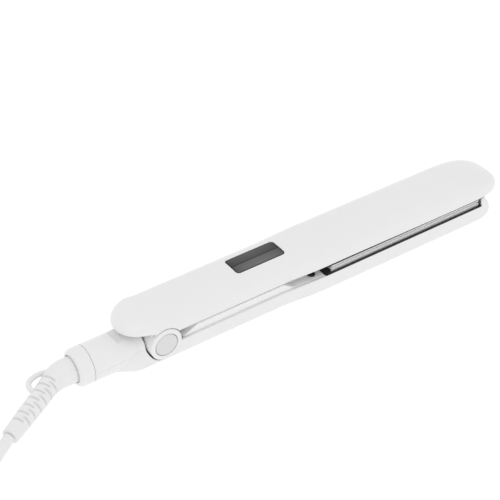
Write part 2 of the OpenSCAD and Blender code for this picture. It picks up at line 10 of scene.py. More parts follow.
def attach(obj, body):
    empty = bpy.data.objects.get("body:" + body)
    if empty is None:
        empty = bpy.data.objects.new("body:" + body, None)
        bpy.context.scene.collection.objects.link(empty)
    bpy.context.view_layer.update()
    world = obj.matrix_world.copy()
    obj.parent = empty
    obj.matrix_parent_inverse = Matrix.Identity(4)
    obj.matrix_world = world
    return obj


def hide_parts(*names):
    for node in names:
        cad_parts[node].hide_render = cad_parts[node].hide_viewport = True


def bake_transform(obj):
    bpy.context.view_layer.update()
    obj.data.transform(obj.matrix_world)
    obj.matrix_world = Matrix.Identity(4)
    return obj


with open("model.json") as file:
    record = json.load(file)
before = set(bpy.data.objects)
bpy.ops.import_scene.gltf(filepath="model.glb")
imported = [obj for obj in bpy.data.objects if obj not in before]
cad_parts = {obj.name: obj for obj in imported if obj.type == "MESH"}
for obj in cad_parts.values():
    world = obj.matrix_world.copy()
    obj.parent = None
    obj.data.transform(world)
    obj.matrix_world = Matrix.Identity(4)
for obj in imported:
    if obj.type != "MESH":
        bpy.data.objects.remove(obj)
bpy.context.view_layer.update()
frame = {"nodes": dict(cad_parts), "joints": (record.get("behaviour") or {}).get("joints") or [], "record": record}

# Shapes are worked out in millimetres with the hinge axis over x = 0, as in the CAD source; pt() places
# them in the shared frame.
HINGE_X = next(j for j in frame["joints"] if j["name"] == "arm_hinge")["pos_m"][0]
MM = 0.001

# Sizes that several pieces share
HINGE_Z = 14.5
TAIL_R = TAIL_Z = 10.3                     # the tail's tube rests on z = 0
TOP_Z = 31.8                               # crown of the upper arm
WALL = 1.5                                 # thickness of the shells
FLAT = 0.12                                # cut off the lower arm's round underside
REAR_IN, REAR = -1, -21                    # x where the upper arm's rear end begins to round in, and its tip
UPPER_NOSE_IN, UPPER_NOSE = 204, 231       # the same for the noses
LOWER_NOSE_IN, LOWER_NOSE = 210, 228.2
NOSE_LEN = 18.2                            # of the lower nose
LIP_X = 213.4                              # rear face of the lip in front of the plates
LIP_GAP = 0.03                             # lip inside the shell's outline
PLATE_HOLE = (106, 212.6, -14.65, 14.65)   # x and y limits of the plates' openings in their frames
FRAME_X = 101.8                            # rear end of the plates' frames
FRAME_END = 213.3                          # and their front end
WINDOW = (50.2, 81.2, -6.4, 6.4)           # x and y limits of the display window
CORD_R = 3.0
CORD_EXIT = (-94.4, -22.8, 7.87)
HANK_Y, HANK_X = -20.0, (-151.0, -223.0)   # middle line of the hank and the centres of its two bends
HANK_TURNS = [(25, 3.8), (19, 3.8), (19, 9.8), (25, 9.8), (25, 15.8), (19, 15.8)]   # (radius, height)
LAST_R, LAST_Z = 25, 21.8                  # where the last run leaves the hank for the plug
PLUG_Y, PLUG_Z = -10, 25.5


def pt(x, y, z):
    return Vector((HINGE_X + x * MM, y * MM, z * MM))


# ---------------------------------------------------------------- camera

def make_camera():
    """Looks along the iron from its cord end and down on it, without roll."""
    heading, down = math.radians(55.06129), math.radians(37.80751)
    right = Vector((math.sin(heading), -math.cos(heading), 0))
    ahead = Vector((math.cos(heading) * math.cos(down), math.sin(heading) * math.cos(down), -math.sin(down)))
    up = right.cross(ahead)
    data = bpy.data.cameras.new("camera")
    data.lens, data.sensor_width = 109.9, 36.0
    data.clip_start, data.clip_end = 0.01, 20.0
    cam = bpy.data.objects.new("camera", data)
    bpy.context.scene.collection.objects.link(cam)
    at = pt(-299.79, -518.75, 528.73)
    cam.matrix_world = Matrix([[right[i], up[i], -ahead[i], at[i]] for i in range(3)] + [[0, 0, 0, 1]])
    bpy.context.scene.camera = cam


make_camera()


# ---------------------------------------------------------------- materials

def nodes_of(name):
    mat = bpy.data.materials.new(name)
    mat.use_nodes = True
    tree = mat.node_tree
    return mat, tree, tree.nodes["Principled BSDF"]


def color_ramp(tree, value, stops):
    """Colour socket of a ramp fed by value, with (position, colour) stops."""
    ramp = tree.nodes.new("ShaderNodeValToRGB")
    elements = ramp.color_ramp.elements
    while len(elements) < len(stops):
        elements.new(0.5)
    for element, (at, color) in zip(elements, stops):
        element.position, element.color = at, (*color, 1)
    tree.links.new(value, ramp.inputs["Fac"])
    return ramp.outputs["Color"]


def grey_ramp(tree, value, stops):
    return color_ramp(tree, value, [(at, (level, level, level)) for at, level in stops])


def multiply(tree, a, b, amount=1.0):
    node = tree.nodes.new("ShaderNodeMix")
    node.data_type, node.blend_type = "RGBA", "MULTIPLY"
    node.inputs["Factor"].default_value = amount
    tree.links.new(a, node.inputs["A"])
    tree.links.new(b, node.inputs["B"])
    return node.outputs["Result"]


def surface(name, color, rough, metallic=0.0, specular=0.5, mottle=0.02, grain=0.1, grain_scale=2500.0,
            grain_mm=0.02, rough_spread=0.05, stretch=(1, 1, 1)):
    """A moulded, painted or metal finish: slow mottling of colour and gloss, and a fine relief."""
    mat, tree, bsdf = nodes_of(name)
    new, link = tree.nodes.new, tree.links.new
    where = new("ShaderNodeTexCoord")
    mapping = new("ShaderNodeMapping")
    mapping.inputs["Scale"].default_value = stretch
    link(where.outputs["Object"], mapping.inputs["Vector"])
    noises = []
    mottling, graining = (60.0, 3.0), (grain_scale, 2.0)
    for scale, detail in (mottling, graining):
        noise = new("ShaderNodeTexNoise")
        noise.inputs["Scale"].default_value = scale
        noise.inputs["Detail"].default_value = detail
        link(mapping.outputs["Vector"], noise.inputs["Vector"])
        noises.append(noise.outputs["Fac"])
    slow, fine = noises
    dark = [c * (1 - 2 * mottle) for c in color]
    link(color_ramp(tree, slow, [(0.3, dark), (0.7, color)]), bsdf.inputs["Base Color"])
    gloss = new("ShaderNodeMapRange")
    gloss.inputs["To Min"].default_value = rough - rough_spread
    gloss.inputs["To Max"].default_value = rough + rough_spread
    link(slow, gloss.inputs["Value"])
    link(gloss.outputs["Result"], bsdf.inputs["Roughness"])
    bump = new("ShaderNodeBump")
    bump.inputs["Strength"].default_value = grain
    bump.inputs["Distance"].default_value = grain_mm * MM
    link(fine, bump.inputs["Height"])
    link(bump.outputs["Normal"], bsdf.inputs["Normal"])
    bsdf.inputs["Metallic"].default_value = metallic
    bsdf.inputs["Specular IOR Level"].default_value = specular
    return mat


def display_finish(name):
    """Tinted window over an unlit display: two dim panes with a dark border and gap, the near pane lighter by a
    painted reflection.
    """
    mat, tree, bsdf = nodes_of(name)
    new, link = tree.nodes.new, tree.links.new
    x0, x1, y0, y1 = WINDOW
    where = new("ShaderNodeTexCoord")
    split = new("ShaderNodeSeparateXYZ")
    link(where.outputs["Object"], split.inputs["Vector"])
    across = new("ShaderNodeMapRange")
    across.inputs["From Min"].default_value, across.inputs["From Max"].default_value = y0 * MM, y1 * MM
    link(split.outputs["Y"], across.inputs["Value"])
    # The near pane is painted lighter than the far one and fades across the window: a painted reflection.
    panes = [(0.0, 0.14), (0.44, 0.11), (0.48, 0.03), (0.51, 0.03), (0.55, 0.062), (1.0, 0.08)]
    out = color_ramp(tree, across.outputs["Result"], [(at, (v, v, v * 1.03)) for at, v in panes])
    fine = new("ShaderNodeTexNoise")
    fine.inputs["Scale"].default_value = 1500.0
    link(where.outputs["Object"], fine.inputs["Vector"])
    out = multiply(tree, out, fine.outputs["Color"], 0.08)
    # Distance from the window's middle, 1 at its edges; the border is dark and the two ends get less light
    scale = (2 / ((x1 - x0) * MM), 2 / ((y1 - y0) * MM))
    place = new("ShaderNodeVectorMath")
    place.operation = "MULTIPLY_ADD"
    place.inputs[1].default_value = (*scale, 0)
    place.inputs[2].default_value = (-(HINGE_X + (x0 + x1) / 2 * MM) * scale[0], 0, 0)
    link(where.outputs["Object"], place.inputs[0])
    size = new("ShaderNodeVectorMath")
    size.operation = "ABSOLUTE"
    link(place.outputs["Vector"], size.inputs[0])
    parts = new("ShaderNodeSeparateXYZ")
    link(size.outputs["Vector"], parts.inputs["Vector"])
    for axis, stops in (("X", ((0.0, 1.15), (0.6, 1.0), (0.9, 0.75), (0.96, 0.35))),
                        ("Y", ((0.0, 1.0), (0.84, 1.0), (0.93, 0.4)))):
        out = multiply(tree, out, grey_ramp(tree, parts.outputs[axis], stops))
    link(out, bsdf.inputs["Base Color"])
    bsdf.inputs["Roughness"].default_value = 0.1
    bsdf.inputs["Specular IOR Level"].default_value = 0.25
    return mat


MAT = {name: surface(name, color, rough, **more) for name, color, rough, more in (
    ("white_gloss", (0.82, 0.82, 0.82), 0.3, dict(mottle=0.006, grain=0.04, specular=0.45)),
    # The satin white of the inner covers is painted lighter than the shell's white, to make up for the shade
    # inside the gap between the arms: painted light.
    ("white_satin", (0.9, 0.9, 0.9), 0.42, dict(mottle=0.01, grain=0.08)),
    ("hinge_cap", (0.7, 0.7, 0.7), 0.36, dict(metallic=0.15, mottle=0.01, grain=0.05)),
    ("soft_white", (0.82, 0.82, 0.82), 0.52, dict(mottle=0.012, grain=0.18, grain_scale=1800,
                                                  specular=0.4)),
    ("plug_white", (0.8, 0.8, 0.8), 0.45, dict(mottle=0.01, grain=0.15)),
    ("black_plastic", (0.022, 0.022, 0.024), 0.42, dict(mottle=0.1, grain=0.25)),
    ("plate_metal", (0.76, 0.76, 0.77), 0.34, dict(metallic=0.2, grain=0.12, grain_scale=900,
                                                   rough_spread=0.04, stretch=(0.06, 1, 1))),
    ("heater_ceramic", (0.7, 0.66, 0.56), 0.7, dict(mottle=0.06, grain=0.5)),
    ("board_green", (0.04, 0.2, 0.09), 0.35, dict(mottle=0.08, grain=0.2)),
    ("lcd_grey", (0.3, 0.33, 0.29), 0.25, dict(grain=0.02)),
    ("button_grey", (0.52, 0.52, 0.53), 0.4, dict(grain=0.15)),
    ("steel", (0.6, 0.6, 0.61), 0.28, dict(metallic=1.0, mottle=0.04, grain=0.15)),
    ("bronze", (0.55, 0.38, 0.2), 0.4, dict(metallic=1.0, mottle=0.08, grain=0.4)),
    ("screw_dark", (0.1, 0.1, 0.105), 0.4, dict(metallic=0.8, mottle=0.1, grain=0.3)),
    ("terminal_ivory", (0.72, 0.7, 0.6), 0.45, dict(mottle=0.03, grain=0.2)),
    ("lead_insulation", (0.45, 0.3, 0.2), 0.5, dict(mottle=0.06, grain=0.2)),
    ("tie_grey", (0.075, 0.075, 0.08), 0.75, dict(mottle=0.15, grain=0.9, grain_scale=1200,
                                                  grain_mm=0.15)),
    ("pin_metal", (0.72, 0.72, 0.71), 0.2, dict(metallic=1.0, mottle=0.03, grain=0.06)),
)}
MAT["display_glass"] = display_finish("display_glass")
SLOT_OF = {s["node"]: s["material_slot"] for s in frame["record"]["subparts"]}
for node, obj in frame["nodes"].items():
    obj.data.materials.clear()
    obj.data.materials.append(MAT[SLOT_OF[node]])
    obj.data.shade_smooth()
    obj.data.set_sharp_from_angle(angle=math.radians(32))


# ---------------------------------------------------------------- mesh helpers

def mix(a, b, t):
    return a + (b - a) * t


def ease(x, a, b):
    t = min(1.0, max(0.0, (x - a) / (b - a)))
    return t * t * (3 - 2 * t)


def spow(v, p):
    return math.copysign(abs(v) ** p, v)


def falloff(u, p):
    """1 up to u = 0 and 0 from u = 1 on, along a superellipse."""
    return max(0.0, 1 - max(0.0, u) ** p) ** (1 / p)


def span(a, b, step):
    """Even stations from a, about a step apart, without b."""
    n = max(1, math.ceil(abs(b - a) / step))
    return [a + (b - a) * i / n for i in range(n)]


def quarter(n, start=0, stop=None):
    """Angles of a quarter turn in n steps, or of some of the steps."""
    return [math.pi / 2 * i / n for i in range(start, n + 1 if stop is None else stop)]


def circle(n):
    """Cosine and sine at n equal steps of a full turn."""
    return [(math.cos(2 * math.pi * k / n), math.sin(2 * math.pi * k / n)) for k in range(n)]


def sweep(n, crowd=0.6):
    """Angles from 0 to 180 degrees, closer together at both ends."""
    return [math.pi * (i / n - crowd * math.sin(2 * math.pi * i / n) / (2 * math.pi)) for i in range(n + 1)]


def both_sides(side, tip=()):
    """Outline from (x, half width) pairs: up the near side, round the tip and back along the far side."""
    return [(x, -h) for x, h in side] + list(tip) + [(x, h) for x, h in side[::-1]]


def add_object(name, mesh):
    obj = bpy.data.objects.new(name, mesh)
    bpy.context.scene.collection.objects.link(obj)
    return obj


def raw(name, verts, faces):
    """A closed mesh object from points in millimetres, with doubled points joined and faces outwards."""
    mesh = bpy.data.meshes.new(name)
    mesh.from_pydata([pt(*v) for v in verts], [], faces)
    bm = bmesh.new()
    bm.from_mesh(mesh)
    bmesh.ops.remove_doubles(bm, verts=bm.verts, dist=1e-7)
    bmesh.ops.dissolve_degenerate(bm, edges=bm.edges, dist=1e-7)
    bmesh.ops.recalc_face_normals(bm, faces=bm.faces)
    if bm.calc_volume(signed=True) < 0:
        bmesh.ops.reverse_faces(bm, faces=bm.faces)
    bm.to_mesh(mesh)
    bm.free()
    return add_object(name, mesh)


def skin(n, m, wrap=False):
    """Faces between n closed rings of m points, and from the last ring to the first if wrapped."""
    return [(i * m + j, i * m + (j + 1) % m, (i + 1) % n * m + (j + 1) % m, (i + 1) % n * m + j)
            for i in range(n if wrap else n - 1) for j in range(m)]


def loft(name, rings, wrap=False):
    """Rings of equal length joined into a closed solid, with flat ends unless wrapped."""
    n, m = len(rings), len(rings[0])
    faces = skin(n, m, wrap)
    if not wrap:
        faces += [tuple(range(first, first + m)) for first in (0, (n - 1) * m)]
    return raw(name, [p for ring in rings for p in ring], faces)


def turned(along, radius, angle, axis, centre):
    """Point of a turned shape; angle is its (cosine, sine)."""
    c, s = radius * angle[0], radius * angle[1]
    v = {"X": (along, c, s), "Y": (s, along, c), "Z": (c, s, along)}[axis]
    return tuple(centre[i] + v[i] for i in range(3))


def lathe(name, profile, axis, centre, segments=96):
    """Closed profile of (along, radius) pairs turned about the X, Y or Z axis through centre."""
    rings = [[turned(a, r, angle, axis, centre) for a, r in profile] for angle in circle(segments)]
    return loft(name, rings, wrap=True)


def spin(name, profile, axis, centre, segments=72):
    """Solid of revolution with flat ends through (along, radius) pairs."""
    return loft(name, [[turned(a, r, angle, axis, centre) for angle in circle(segments)]
                       for a, r in profile])


def fillet(cx, cy, r, a0, a1, n=5):
    """Points of an arc, angles in degrees."""
    angles = [math.radians(mix(a0, a1, i / n)) for i in range(n + 1)]
    return [(cx + r * math.cos(a), cy + r * math.sin(a)) for a in angles]


def slab(name, outline, levels):
    """Solid stacked from outline(inset) at each (inset, z)."""
    return loft(name, [[(x, y, z) for x, y in outline(inset)] for inset, z in levels])


def rounded_box(x0, x1, y0, y1, r, n=8):
    """outline(inset) of a rectangle with round corners."""
    def outline(inset):
        ax, bx, ay, by = x0 + inset, x1 - inset, y0 + inset, y1 - inset
        c = min(max(r - inset, 0.02), (bx - ax) / 2, (by - ay) / 2)
        return (fillet(bx - c, by - c, c, 0, 90, n) + fillet(ax + c, by - c, c, 90, 180, n)
                + fillet(ax + c, ay + c, c, 180, 270, n) + fillet(bx - c, ay + c, c, 270, 360, n))
    return outline


def cut(obj, *tools, op="DIFFERENCE"):
    for tool in tools:
        mod = obj.modifiers.new("cut", "BOOLEAN")
        mod.object, mod.operation, mod.solver = tool, op, "EXACT"
    dg = bpy.context.evaluated_depsgraph_get()
    mesh = bpy.data.meshes.new_from_object(obj.evaluated_get(dg))
    obj.modifiers.clear()
    old, obj.data = obj.data, mesh
    bpy.data.meshes.remove(old)
    for tool in tools:
        bpy.data.objects.remove(tool)
    return obj


def box_cut(x0, x1, y0, y1, z0, z1, r=0.3):
    return slab("tool", rounded_box(x0, x1, y0, y1, r, 4), [(0, z0), (0, z1)])


def ear_cuts(r, x):
    """Round clearances for the hinge discs on both sides."""
    return [spin("tool", [(s * 7.7, r), (s * 40, r)], "Y", (x, 0, HINGE_Z)) for s in (-1, 1)]


def join(name, objs):
    """One object from several."""
    bm = bmesh.new()
    for o in objs:
        bm.from_mesh(o.data)
    mesh = bpy.data.meshes.new(name)
    bm.to_mesh(mesh)
    bm.free()
    for o in objs:
        bpy.data.objects.remove(o)
    return add_object(name, mesh)


def mirrored(obj):
    """A copy on the other side of the middle plane."""
    bm = bmesh.new()
    bm.from_mesh(obj.data)
    for v in bm.verts:
        v.co.y = -v.co.y
    bmesh.ops.reverse_faces(bm, faces=bm.faces)
    mesh = bpy.data.meshes.new(obj.name)
    bm.to_mesh(mesh)
    bm.free()
    return add_object(obj.name, mesh)


def finish(obj, body, slot, nodes, sharp=35):
    """Shading, finish, the body it rides on (None to leave it unattached) and the CAD nodes that it stands for."""
    obj.data.materials.clear()
    obj.data.materials.append(MAT[slot])
    obj.data.shade_smooth()
    obj.data.set_sharp_from_angle(angle=math.radians(sharp))
    if body:
        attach(obj, body)
    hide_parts(*nodes)
    return obj


def frames(points):
    """Unit vectors (along, side, up) at each point of a path, without twist."""
    p = np.array(points, float)
    d = np.gradient(p, axis=0)
    d /= np.linalg.norm(d, axis=1)[:, None]
    side = np.cross((0, 0, 1.0), d[0])
    side /= np.linalg.norm(side)
    out = []
    for t in d:
        side = side - t * side.dot(t)
        side /= np.linalg.norm(side)
        out.append((t, side, np.cross(t, side)))
    return p, out


def smooth_path(points, step):
    """Catmull-Rom curve through the points, with a point about every step."""
    p = [np.array(q, float) for q in points]
    p = [2 * p[0] - p[1]] + p + [2 * p[-1] - p[-2]]
    out = []
    for a, b, c, d in zip(p, p[1:], p[2:], p[3:]):
        n = max(1, round(float(np.linalg.norm(c[:3] - b[:3])) / step))
        for i in range(n):
            t = i / n
            out.append(0.5 * (2 * b + (c - a) * t + (2 * a - 5 * b + 4 * c - d) * t * t
                              + (3 * b - a - 3 * c + d) * t**3))
    out.append(p[-2])
    return out


def tube(name, points, radius, sides):
    p, fr = frames(points)
    return loft(name, [[tuple(at + radius * (c * side + s * up)) for c, s in circle(sides)]
                       for at, (_, side, up) in zip(p, fr)])


# ---------------------------------------------------------------- cord

cord_in = [CORD_EXIT, (-101, -26.6, 6.7), (-108, -30.7, 5.2), (-116, -35.1, 4.2), (-124, -39.3, 3.8),
           (-132, -42.6, 3.8), (-141, -44.6, 3.8)]
cord_out = [(-144.5, 4.2, LAST_Z), (-134.9, -0.8, LAST_Z), (-128.3, -9.4, LAST_Z), (-126, HANK_Y, LAST_Z),
            (-128.3, -30.6, 21.9), (-134.9, -39.2, 22), (-144, -44, 22.3), (-151, -44.9, 22.6),
            (-158, -43.6, 23), (-165.5, -39, 23.6), (-173, -31, 24.4), (-180.5, -21.5, 25),
            (-187, -13.5, 25.4), (-194, PLUG_Y, PLUG_Z)]


def hank_path():
    """Three layers of two turns, each turn down the near side, round, back along the far side and round."""
    out = []
    for (r, z), following in zip(HANK_TURNS, HANK_TURNS[1:] + [None]):
        for i in range(12):
            out.append((mix(*HANK_X, i / 12), HANK_Y - r, z))
        for i in range(16):
            a = math.pi * i / 16
            out.append((HANK_X[1] - r * math.sin(a), HANK_Y - r * math.cos(a), z))
        for i in range(12):
            t = i / 12
            if following:
                rr, zz = r, z
            else:
                rr, zz = mix(r, LAST_R, ease(t, 0.5, 1)), mix(z, LAST_Z, ease(t, 0, 0.5))
            out.append((mix(HANK_X[1], HANK_X[0], t), HANK_Y + rr, zz))
        if not following:
            return out
        r2, z2 = following
        for i in range(16):
            a, f = math.pi * i / 16, ease(i / 16, 0, 1)
            slack = 0 if r2 != r else (-1 if r < 20 else 1.5) * math.sin(a) ** 2
            rr = mix(r, r2, f) + slack
            out.append((HANK_X[0] + rr * math.sin(a), HANK_Y + rr * math.cos(a), mix(z, z2, f)))


cord_path = smooth_path(cord_in + hank_path() + cord_out, 3.2)
cord = finish(tube("cord_flex", cord_path, CORD_R, 20), None, "soft_white",
              ("cord", "cord_hank", "cord_end"))
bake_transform(cord)


# ---------------------------------------------------------------- outlines of the arms

def widening(x):
    """0 behind the display and 1 beside the plates, where both arms are wider."""
    return ease(x, 70, 102)


def upper_half(x):
    return mix(15.2, 16.4, widening(x))


def lower_half(x):
    return 15.1 + 1.2 * widening(x)


def flare(x, z):
    """0 on the tail's tube and 1 on the arm's body, which spreads from the tube along a slanting line."""
    return min(1.0, max(0.0, (x + 28.5 - 1.27 * z) / 7.5))


def lower_rim(x):
    return mix(TAIL_Z, 12.6, ease(x, -25, -13)) + 0.2 * ease(x, 78, 84)


def rim_half(x):
    return mix(TAIL_R, 15.1, flare(x, lower_rim(x))) + 1.2 * widening(x)


def upper_rim(x):
    return 24 - 4.5 * ease(x, -8, -1) - 0.6 * ease(x, 110, 190)


def upper_ends(x, t, nose_in, rear_power, nose_power):
    rear, front = (REAR_IN - x) / (REAR_IN - REAR - t), (x - nose_in) / (UPPER_NOSE - t - nose_in)
    return falloff(rear, rear_power) * falloff(front, nose_power)


def upper_plan(x, t):
    return upper_ends(x, t, UPPER_NOSE_IN, 2.2, 2.7)


def upper_crown(x, t):
    return upper_ends(x, t, 195, 2.6, 2.0)


def lower_plan(x, t):
    return falloff((x - LOWER_NOSE_IN) / (LOWER_NOSE - t - LOWER_NOSE_IN), 2.3)


ARC = sweep(48)


def dome(x, t):
    """The upper arm's half width at x, the top of its straight sides, the rise above and the exponent."""
    rim, crown = upper_rim(x), upper_crown(x, t)
    side = 1.5 * crown
    rise = (TOP_Z - t - rim - side) * crown
    return (upper_half(x) - t) * upper_plan(x, t), rim + side, rise, 2 / (2.8 - 0.5 * ease(-x, 0, 18))


def upper_section(x, t):
    """Half width at the rim and the domed arc from the near side to the far side."""
    w, side, rise, q = dome(x, t)
    return w, [(x, -w * spow(math.cos(a), q), side + rise * spow(math.sin(a), q)) for a in ARC]


def upper_top(x, y):
    """Height of the upper arm's outer surface."""
    w, side, rise, q = dome(x, 0)
    return side + rise * max(0.0, 1 - (abs(y) / w) ** (2 / q)) ** (q / 2)


def lean(z):
    """Share of its full length that the lower nose keeps at height z, as its front leans back."""
    return 1 - 6.6 * ease(z, 3.5, 15) / NOSE_LEN


def leaned(p):
    x, y, z = p
    return (LOWER_NOSE_IN + (x - LOWER_NOSE_IN) * lean(z) if x > LOWER_NOSE_IN else x, y, z)


def lower_section(x, t):
    """Half width at the rim and the arc under the arm from the near side to the far side."""
    e = lower_plan(x, t)
    w, q = (lower_half(x) - t) * e, 2 / (2 + 0.5 * ease(x, -27, -8) + 0.7 * ease(x, 74, 104))
    r, b = TAIL_R - t, (7 - t + FLAT) * e**0.4
    arc = []
    for a in ARC:
        c, v = math.cos(a), math.sin(a)
        y, z = -r * c, TAIL_Z - (r + FLAT) * v
        f = flare(x, z)
        arc.append((x, mix(y, -w * spow(c, q), f), max(0.0, mix(z, 7 - b * spow(v, q), f))))
    return (rim_half(x) - t) * e, arc


def shell(name, stations, section, rim, up, edge, bend=None, closed_rear=False):
    """Wall between the sections at (outer x, inner x) stations, its rim rounded by edge(x)."""
    steps = quarter(5)
    rings, n = [], len(ARC)
    for xo, xi in stations:
        wo, outer = section(xo, 0)
        wi, inner = section(xi, WALL)
        z = rim(xo)
        room = min(wo * 0.4, 0.5 * max(abs(q[2] - z) for q in outer))
        ro, ri = min(edge(xo), room), min(0.25, room)
        outer = [(x, y, z + up * max(up * (h - z), ro)) for x, y, h in outer]
        inner = [(x, y, z + up * max(up * (h - z), ri)) for x, y, h in inner]
        side = [(xo, wo - ro + ro * math.cos(a), z + up * ro * (1 - math.sin(a))) for a in steps]
        side += [(xi, wi + ri * (1 - math.sin(a)), z + up * ri * (1 - math.cos(a))) for a in steps]
        ring = outer + side + inner[::-1] + [(x, -y, z) for x, y, z in side[::-1]]
        rings.append([bend(q) for q in ring] if bend else ring)
    m, k = len(rings[0]), len(steps) * 2
    faces = skin(len(rings), m)
    if closed_rear:
        def inside(j):
            return n + k + n - 1 - j
        faces += [(j, j + 1, inside(j + 1), inside(j)) for j in range(n - 1)]
        faces += [tuple(range(n - 1, n + k + 1)), (*range(n + k + n - 1, m), 0)]
    return raw(name, [p for ring in rings for p in ring], faces)


def rounding(start, length, angles):
    """Stations round an end of a shell, whose inner side is shorter by the wall."""
    thick = math.copysign(WALL, length)
    return [(start + length * math.sin(a), start + (length - thick) * math.sin(a)) for a in angles]


# ---------------------------------------------------------------- upper arm

rear = rounding(REAR_IN, REAR - REAR_IN, quarter(24, 1)[::-1])
nose = rounding(UPPER_NOSE_IN, UPPER_NOSE - UPPER_NOSE_IN, quarter(26, 1))
straight = [(x, x) for x in span(REAR_IN, 30, 1) + span(30, 78, 3) + span(78, 98, 1.5)
            + span(98, UPPER_NOSE_IN, 3) + [UPPER_NOSE_IN]]
upper = shell("upper_arm_shell", rear + straight + nose, upper_section, upper_rim, 1, lambda x: 0.4)
window_gap = slab("tool", rounded_box(*WINDOW, 2.0), [(-0.15, 20), (-0.15, 40)])
cut(upper, *ear_cuts(9.65, 0), window_gap)
finish(upper, "upper_arm", "white_gloss", ("upper_shell",))

# Display window: loops of (inset, depth) from its skirt to the middle line, following the shell's surface
pane = rounded_box(*WINDOW, 2.0)
loops = [(1.0, 1.6), (0, 1.4), (0, 0.22), (0.06, 0.12)]
loops += [(inset, 0.08) for inset in (0.2, 0.8, 1.8, 3.2, 4.6, 5.8, 6.3)]
loops = [[(x, y, upper_top(x, y) - drop) for x, y in pane(inset)] for inset, drop in loops]
finish(loft("display_pane", loops), "upper_arm", "display_glass", ("display_window",))

# Hinge discs with their arms and the plate under the crown; profiles are (along the pin, radius)
ear_profile = ([(8, 2.5), (8, 9.0), (8.2, 9.2)] + [(a, r) for r, a in fillet(8.6, 15.3, 0.6, 0, 90, 6)]
               + [(15.9, 6.9), (15.75, 6.75), (14.3, 6.75), (14.3, 2.5)])
ear = lathe("ear", ear_profile, "Y", (0, 0, HINGE_Z), 128)
arm = slab("arm", rounded_box(-7, 8, 8, 12.9, 0.5, 4),
           [(0, HINGE_Z)] + [(0.3 * (1 - math.cos(a)), 24.8 - 0.3 * (1 - math.sin(a))) for a in quarter(4)])
cut(arm, spin("tool", [(0, 9.0), (13.5, 9.0)], "Y", (0, 0, HINGE_Z)))
left = join("left", [mirrored(ear), mirrored(arm)])
bridge_half = [(x, (upper_half(x) - 2.4) * upper_plan(x, 2.4)) for x in
               [REAR_IN - 17.5 * math.cos(a) for a in quarter(12, 0, 12)] + [0, 4, 8]]


def bridge_outline(inset):
    return both_sides([(x, max(0.05, h - inset)) for x, h in bridge_half])


bridge = slab("bridge", bridge_outline, [(0.2, 24), (0, 24.2), (0, 25.3), (0.2, 25.5)])
finish(join("hinge_discs", [ear, arm, left, bridge]), "upper_arm", "white_gloss", ("hinge_yoke",))
cap_profile = ([(14.3, 6.4)] + [(a, r) for r, a in fillet(6.1, 15.5, 0.3, 0, 90)]
               + [(15.82, 5.0), (15.84, 2.5)])
cap = spin("cap", cap_profile, "Y", (0, 0, HINGE_Z), 96)
finish(join("hinge_cap_pair", [mirrored(cap), cap]), "upper_arm", "hinge_cap", ("hinge_caps",))


# ---------------------------------------------------------------- buttons

def mark(outline):
    """A sign raised on a button's face."""
    return loft("mark", [[(x, y, z) for x, y in outline] for z in (18.28, 18.5)])


def bar(x, y, length, width):
    a, b = length / 2, width / 2
    return mark([(x - a, y - b), (x + a, y - b), (x + a, y + b), (x - a, y + b)])


key_profile = [(18.4, 2.7), (18.45, 2.88), (18.6, 3.0), (21.1, 3.0), (21.1, 3.9), (21.9, 3.9), (22, 3.8)]
for name, x in (("power", 30), ("plus", 42), ("minus", 54)):
    key = spin("key", key_profile, "Z", (x, 0, 0), 48)
    if name == "power":
        arcs = [math.radians(a) for a in range(135, 406, 15)]
        band = [(x + r * math.cos(a), r * math.sin(a))
                for r, angles in ((1.45, arcs), (1.15, arcs[::-1])) for a in angles]
        marks = [mark(band), bar(x, 1.0, 0.3, 1.3)]
    else:
        marks = [bar(x, 0, 2.6, 0.45)] + ([bar(x, 0, 0.45, 2.6)] if name == "plus" else [])
    finish(join(f"{name}_key", [key, *marks]), f"{name}_button", "button_grey", (f"{name}_button",))

# ---------------------------------------------------------------- lower arm

tail = [(x, x) for x in span(-38.7, -29, 3) + span(-29, -4, 0.5) + span(-4, 70, 3) + span(70, 104, 1.5)
        + span(104, LOWER_NOSE_IN, 3) + [LOWER_NOSE_IN, 211, 212, 213, LIP_X]]
front = rounding(LOWER_NOSE_IN, NOSE_LEN, quarter(24, 5))
lower = shell("lower_arm_shell", tail + front, lower_section, lower_rim, -1,
              lambda x: LIP_GAP if x > LIP_X else 0.3, leaned, closed_rear=True)


def lip_ring(g, z):
    """Outline of the lip in front of the plates at height z, inset by g."""
    tip = LOWER_NOSE_IN + (NOSE_LEN - g) * lean(z)
    side = []
    for x in [LIP_X + (tip - LIP_X) * math.sin(a) for a in quarter(16, 0, 16)]:
        side.append((x, (lower_half(x) - g) * lower_plan(LOWER_NOSE_IN + (x - LOWER_NOSE_IN) / lean(z), g)))
    return [(x, y, z) for x, y in both_sides(side, [(tip, 0)])]


lip = [lip_ring(LIP_GAP, 10.5 + 0.5 * i) for i in range(5)]
lip += [lip_ring(LIP_GAP + 5.2 * (1 - math.cos(a)), 12.7 + 5.2 * math.sin(a)) for a in quarter(13, 1, 13)]
cut(lower, loft("tool", lip), op="UNION")
cut(lower, *ear_cuts(9.8, -0.4), spin("tool", [(-1, 2.4), (2.2, 2.4)], "Z", (-31, 0, 0), 32))
finish(lower, "lower_arm", "white_gloss", ("lower_shell",))


def scoop(x, y):
    """Recess in the top of the tail under the upper arm's rear end."""
    around = ((max(0.0, REAR_IN - x) / 22) ** 2.2 + (abs(y) / 17.2) ** 2.2) ** (1 / 2.2)
    return 19 + 0.2 * max(0.0, x + 22.5) + 2 * ease(around, 0.98, 1.03)


